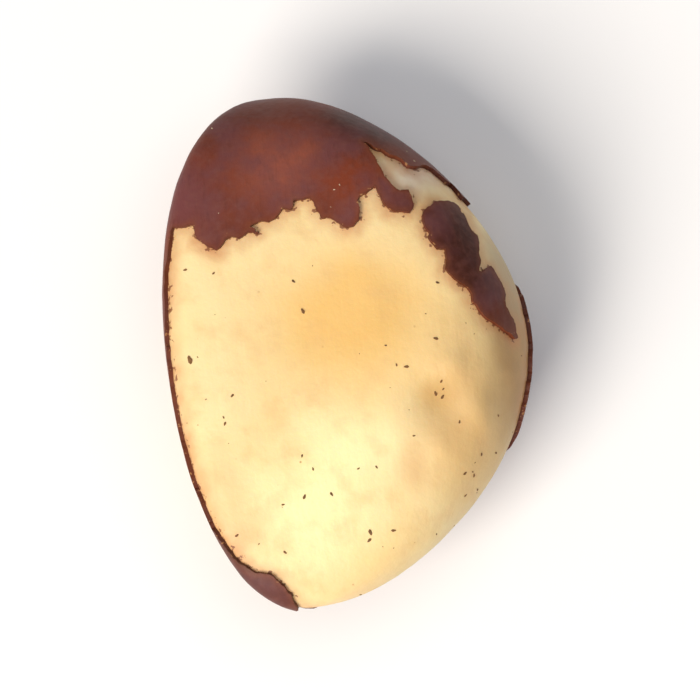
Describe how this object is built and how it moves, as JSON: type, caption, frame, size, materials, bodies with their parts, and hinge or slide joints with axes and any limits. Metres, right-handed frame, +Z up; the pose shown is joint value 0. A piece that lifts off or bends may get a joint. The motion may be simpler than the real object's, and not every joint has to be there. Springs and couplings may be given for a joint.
{
  "type": "shelled brazil nut",
  "caption": "Plump three-sided kernel of a brazil nut, lying on its blunt keel, with the brown skin left in patches that stand proud of the bare cream kernel.",
  "frame": {"origin": "on the surface that the nut rests on, under the middle of its bounding box", "axes": "+Y from the narrow tip to the cap end along the nut, +X from the thin ridge to the round back, +Z up out of the broad face"},
  "size_m": [0.0226, 0.0324, 0.0134],
  "materials": {
    "kernel": "waxy cream kernel under patches of satin brown skin"
  },
  "bodies": {
    "root": {"brazil_nut": "kernel"}
  },
  "joints": []
}
